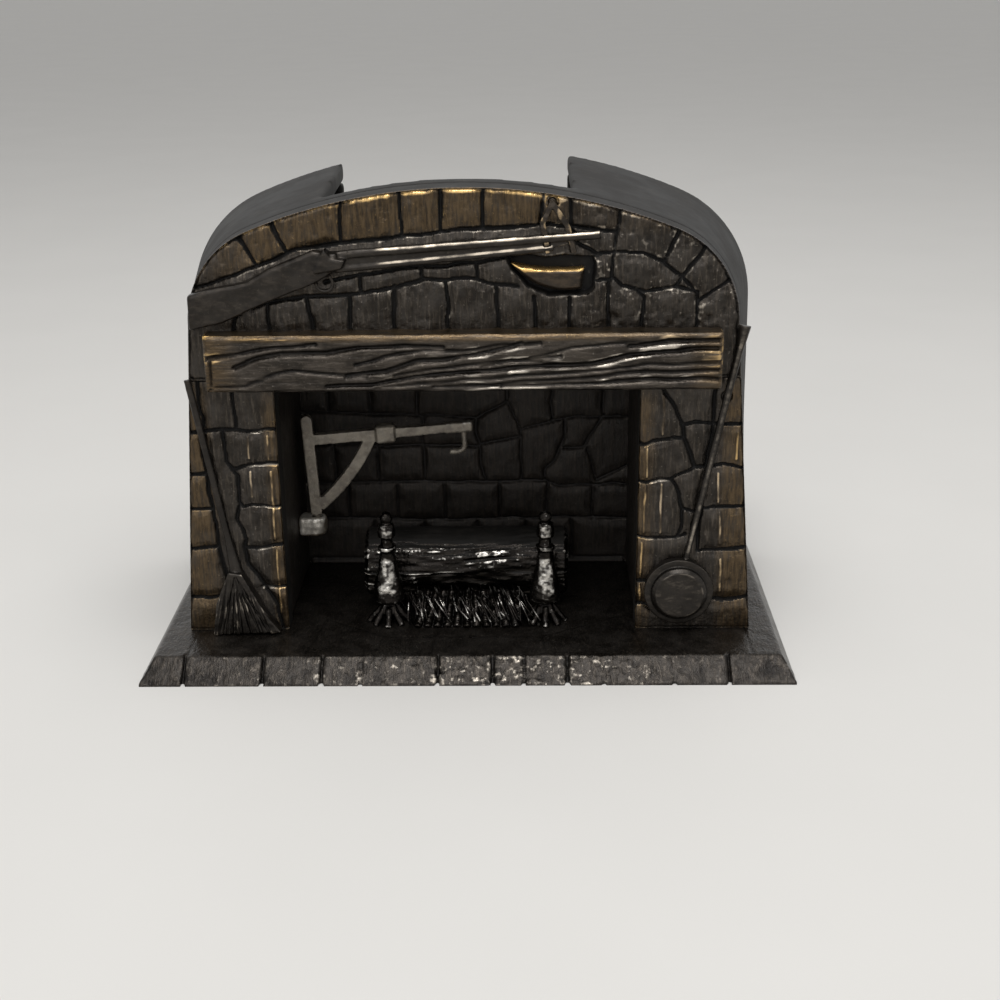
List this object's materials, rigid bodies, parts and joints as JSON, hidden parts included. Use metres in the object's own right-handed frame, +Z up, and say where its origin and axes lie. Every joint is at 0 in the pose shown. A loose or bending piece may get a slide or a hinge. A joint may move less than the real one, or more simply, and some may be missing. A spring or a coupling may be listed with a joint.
{
  "type": "miniature fireplace",
  "caption": "Miniature die-cast stone fireplace with arched surround, timber mantel, andirons and a swinging pot crane; a pencil sharpener sits in the shell behind.",
  "frame": {"origin": "centre of the underside of the hearth base", "axes": "+X to the right along the width, +Y to the back (the fire opening faces -Y), +Z up"},
  "size_m": [0.07, 0.038, 0.0509],
  "materials": {
    "antique_stone": "dark antique bronze, gold rubbed through on raised edges",
    "sooty_stone": "dark bronze in shade, faint sheen",
    "antique_timber": "antique bronze, gold rubbed through on edges",
    "dark_shell": "smooth satin dark bronze",
    "dark_trim": "smooth dark bronze, slightly worn",
    "black_iron": "glossy near-black",
    "pewter": "matte pewter grey, worn bright at the foot",
    "sharpener_metal": "machined light metal",
    "blade_steel": "ground steel",
    "screw_steel": "plain steel"
  },
  "bodies": {
    "hearth": {"hearth_base": "antique_stone", "left_pier": "antique_stone", "right_pier": "antique_stone", "arch_panel": "antique_stone", "firebox_back": "sooty_stone", "mantel_beam": "antique_timber", "rear_shell": "dark_shell", "left_cheek": "sooty_stone", "right_cheek": "sooty_stone", "smoke_shelf": "sooty_stone", "back_plate": "dark_shell", "musket": "dark_trim", "powder_horn": "antique_timber", "horn_strap": "dark_trim", "hearth_broom": "dark_trim", "warming_pan": "dark_trim", "left_andiron": "black_iron", "right_andiron": "black_iron", "fire_log": "black_iron", "kindling": "black_iron", "crane_bracket": "pewter", "sharpener_block": "sharpener_metal", "sharpener_blade": "blade_steel", "blade_screw": "screw_steel", "sharpener_screw": "screw_steel", "surround_screws": "screw_steel", "back_plate_screws": "screw_steel", "base_screws": "screw_steel"},
    "crane": {"pot_crane": "pewter"}
  },
  "joints": [
    {"name": "crane_swing", "type": "hinge", "parent": "hearth", "child": "crane", "pos_m": [-0.0181, 0.0032, 0.0111], "axis": [-0.0523, 0, 0.9986], "range_deg": [-92, 8]}
  ]
}
